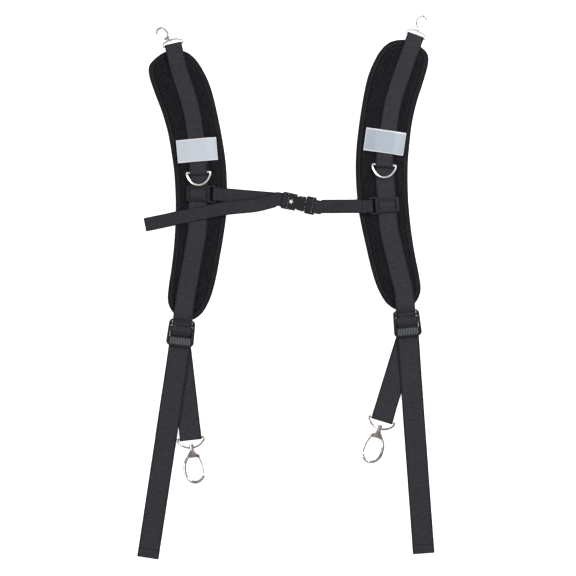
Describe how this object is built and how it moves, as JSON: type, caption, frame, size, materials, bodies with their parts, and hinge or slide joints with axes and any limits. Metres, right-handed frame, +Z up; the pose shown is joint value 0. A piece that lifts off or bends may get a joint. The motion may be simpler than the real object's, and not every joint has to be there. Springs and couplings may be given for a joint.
{
  "type": "tool belt shoulder harness",
  "caption": "Padded shoulder straps that carry a tool belt, joined by an adjustable chest strap with a side-release buckle, with swivel snap hooks and length adjusters.",
  "frame": {"origin": "middle of the bounding box at the height of the table the harness lies on", "axes": "+Y along the pads towards the shoulder hooks, +Z up off the table, +X from the left pad to the right pad as laid out"},
  "size_m": [0.5213, 0.954, 0.0202],
  "materials": {
    "pad_fabric": "black woven polyester over foam",
    "binding_tape": "black grosgrain edge tape",
    "mesh_lining": "black spacer mesh",
    "reflective_tape": "silver grey reflective tape",
    "webbing": "charcoal ribbed polypropylene webbing",
    "nickel": "bright nickel plate",
    "hook_metal": "chrome plated zinc and steel",
    "plastic": "black moulded acetal, fine matte"
  },
  "bodies": {
    "left_half": {"shoulder_pad_left": "pad_fabric", "pad_binding_left": "binding_tape", "pad_lining_left": "mesh_lining", "shoulder_webbing_left": "webbing", "lower_webbing_left": "webbing", "reflective_patch_left": "reflective_tape", "d_ring_tab_left": "webbing"},
    "d_ring_left": {"d_ring_left": "nickel"},
    "adjuster_left": {"ladder_lock_left": "plastic", "hook_strap_left": "webbing", "strap_tail_left": "webbing"},
    "strap_end_left": {"hook_strap_loop_left": "webbing"},
    "tail_end_left": {"tail_hem_left": "webbing"},
    "belt_hook_left_eye": {"belt_hook_left_eye": "hook_metal"},
    "belt_hook_left_body": {"belt_hook_left_body": "hook_metal", "belt_hook_left_pin": "hook_metal"},
    "belt_hook_left_gate": {"belt_hook_left_gate": "hook_metal"},
    "shoulder_hook_left_eye": {"shoulder_hook_left_eye": "hook_metal"},
    "shoulder_hook_left_body": {"shoulder_hook_left_body": "hook_metal", "shoulder_hook_left_pin": "hook_metal"},
    "shoulder_hook_left_gate": {"shoulder_hook_left_gate": "hook_metal"},
    "right_half": {"shoulder_pad_right": "pad_fabric", "pad_binding_right": "binding_tape", "pad_lining_right": "mesh_lining", "shoulder_webbing_right": "webbing", "lower_webbing_right": "webbing", "reflective_patch_right": "reflective_tape", "d_ring_tab_right": "webbing"},
    "d_ring_right": {"d_ring_right": "nickel"},
    "adjuster_right": {"ladder_lock_right": "plastic", "hook_strap_right": "webbing", "strap_tail_right": "webbing"},
    "strap_end_right": {"hook_strap_loop_right": "webbing"},
    "tail_end_right": {"tail_hem_right": "webbing"},
    "belt_hook_right_eye": {"belt_hook_right_eye": "hook_metal"},
    "belt_hook_right_body": {"belt_hook_right_body": "hook_metal", "belt_hook_right_pin": "hook_metal"},
    "belt_hook_right_gate": {"belt_hook_right_gate": "hook_metal"},
    "shoulder_hook_right_eye": {"shoulder_hook_right_eye": "hook_metal"},
    "shoulder_hook_right_body": {"shoulder_hook_right_body": "hook_metal", "shoulder_hook_right_pin": "hook_metal"},
    "shoulder_hook_right_gate": {"shoulder_hook_right_gate": "hook_metal"},
    "chest_left": {"sternum_slider_left": "plastic", "slider_tuck_left": "webbing", "chest_strap_left": "webbing", "buckle_socket": "plastic"},
    "chest_tail": {"chest_strap_tail": "webbing"},
    "chest_right": {"buckle_plug": "plastic", "buckle_prong_a": "plastic", "buckle_prong_b": "plastic", "chest_strap_right": "webbing"},
    "slider_right": {"sternum_slider_right": "plastic", "slider_tuck_right": "webbing"}
  },
  "joints": [
    {"name": "d_ring_flip_left", "type": "hinge", "parent": "left_half", "child": "d_ring_left", "pos_m": [-0.15226, 0.19867, 0.0165], "axis": [-0.9986, -0.0523, 0], "range_deg": [0, 150]},
    {"name": "adjuster_tilt_left", "type": "hinge", "parent": "left_half", "child": "adjuster_left", "pos_m": [-0.18106, -0.06633, 0.008], "axis": [0.9925, -0.1219, 0], "range_deg": [0, 30]},
    {"name": "strap_length_left", "type": "slide", "parent": "adjuster_left", "child": "strap_end_left", "axis": [0.1142, -0.9935, 0], "range_m": [-0.006, 0.17], "deforming": ["hook_strap_left", "strap_tail_left"]},
    {"name": "tail_length_left", "type": "slide", "parent": "adjuster_left", "child": "tail_end_left", "axis": [-0.1494, -0.9888, 0], "range_m": [-0.17, 0.006]},
    {"name": "belt_hook_left_pivot", "type": "hinge", "parent": "strap_end_left", "child": "belt_hook_left_eye", "pos_m": [-0.16666, -0.26553, 0.0042], "axis": [-0.9935, -0.1142, 0], "range_deg": [0, 115]},
    {"name": "belt_hook_left_swivel", "type": "hinge", "parent": "belt_hook_left_eye", "child": "belt_hook_left_body", "pos_m": [-0.16472, -0.28242, 0.0042], "axis": [0.1142, -0.9935, 0], "continuous": true},
    {"name": "belt_hook_left_gate", "type": "hinge", "parent": "belt_hook_left_body", "child": "belt_hook_left_gate", "pos_m": [-0.15451, -0.29594, 0.0042], "axis": [0, 0, -1], "range_deg": [0, 22], "stiffness_Nm_per_rad": 0.03, "springref_deg": -17.19},
    {"name": "shoulder_hook_left_pivot", "type": "hinge", "parent": "left_half", "child": "shoulder_hook_left_eye", "pos_m": [-0.19676, 0.42207, 0.008], "axis": [0.9744, 0.225, 0], "range_deg": [0, 105]},
    {"name": "shoulder_hook_left_swivel", "type": "hinge", "parent": "shoulder_hook_left_eye", "child": "shoulder_hook_left_body", "pos_m": [-0.20315, 0.43102, 0.00702], "axis": [-0.7305, 0.6783, -0.0795], "continuous": true},
    {"name": "shoulder_hook_left_gate", "type": "hinge", "parent": "shoulder_hook_left_body", "child": "shoulder_hook_left_gate", "pos_m": [-0.21092, 0.43273, 0.00669], "axis": [0.0216, -0.0934, -0.9954], "range_deg": [0, 22], "stiffness_Nm_per_rad": 0.015, "springref_deg": -17.19},
    {"name": "d_ring_flip_right", "type": "hinge", "parent": "right_half", "child": "d_ring_right", "pos_m": [0.17124, 0.21187, 0.0165], "axis": [-0.9976, 0.0698, 0], "range_deg": [0, 150]},
    {"name": "adjuster_tilt_right", "type": "hinge", "parent": "right_half", "child": "adjuster_right", "pos_m": [0.21004, -0.04963, 0.008], "axis": [0.9945, 0.1045, 0], "range_deg": [0, 30]},
    {"name": "strap_length_right", "type": "slide", "parent": "adjuster_right", "child": "strap_end_right", "axis": [-0.2929, -0.9561, 0], "range_m": [-0.006, 0.17], "deforming": ["hook_strap_right", "strap_tail_right"]},
    {"name": "tail_length_right", "type": "slide", "parent": "adjuster_right", "child": "tail_end_right", "axis": [0.0727, -0.9974, 0], "range_m": [-0.17, 0.006]},
    {"name": "belt_hook_right_pivot", "type": "hinge", "parent": "strap_end_right", "child": "belt_hook_right_eye", "pos_m": [0.16874, -0.23253, 0.0042], "axis": [-0.9561, 0.2929, 0], "range_deg": [0, 115]},
    {"name": "belt_hook_right_swivel", "type": "hinge", "parent": "belt_hook_right_eye", "child": "belt_hook_right_body", "pos_m": [0.16376, -0.24878, 0.0042], "axis": [-0.2929, -0.9561, 0], "continuous": true},
    {"name": "belt_hook_right_gate", "type": "hinge", "parent": "belt_hook_right_body", "child": "belt_hook_right_gate", "pos_m": [0.15126, -0.26022, 0.0042], "axis": [0, 0, 1], "range_deg": [0, 22], "stiffness_Nm_per_rad": 0.03, "springref_deg": -17.19},
    {"name": "shoulder_hook_right_pivot", "type": "hinge", "parent": "right_half", "child": "shoulder_hook_right_eye", "pos_m": [0.22664, 0.43747, 0.008], "axis": [0.9397, -0.342, 0], "range_deg": [0, 105]},
    {"name": "shoulder_hook_right_swivel", "type": "hinge", "parent": "shoulder_hook_right_eye", "child": "shoulder_hook_right_body", "pos_m": [0.23266, 0.44628, 0.007], "axis": [0.2908, 0.952, -0.0957], "continuous": true},
    {"name": "shoulder_hook_right_gate", "type": "hinge", "parent": "shoulder_hook_right_body", "child": "shoulder_hook_right_gate", "pos_m": [0.23852, 0.45163, 0.00633], "axis": [0.0328, 0.0901, 0.9954], "range_deg": [0, 22], "stiffness_Nm_per_rad": 0.015, "springref_deg": -17.19},
    {"name": "sternum_slide_left", "type": "slide", "parent": "left_half", "child": "chest_left", "axis": [-0.0178, -0.9998, 0], "range_m": [0, 0.04]},
    {"name": "chest_tail_lift", "type": "hinge", "parent": "chest_left", "child": "chest_tail", "pos_m": [-0.00855, 0.15227, 0.0084], "axis": [0.1994, 0.9799, 0], "range_deg": [0, 70]},
    {"name": "buckle_release", "type": "slide", "parent": "chest_left", "child": "chest_right", "axis": [0.9799, -0.1994, 0], "range_m": [0, 0.035], "deforming": ["buckle_prong_a", "buckle_prong_b"]},
    {"name": "chest_strap_fold_right", "type": "hinge", "parent": "chest_right", "child": "slider_right", "pos_m": [0.14811, 0.14018, 0.0146], "axis": [0.0699, -0.9976, 0], "range_deg": [0, 35]},
    {"name": "sternum_slide_right", "type": "slide", "parent": "slider_right", "child": "right_half", "axis": [-0.0699, 0.9976, 0], "range_m": [-0.024, 0.018]}
  ],
  "couplings": [
    {"joint": "tail_length_left", "follows": "strap_length_left", "ratio": -1},
    {"joint": "tail_length_right", "follows": "strap_length_right", "ratio": -1}
  ]
}
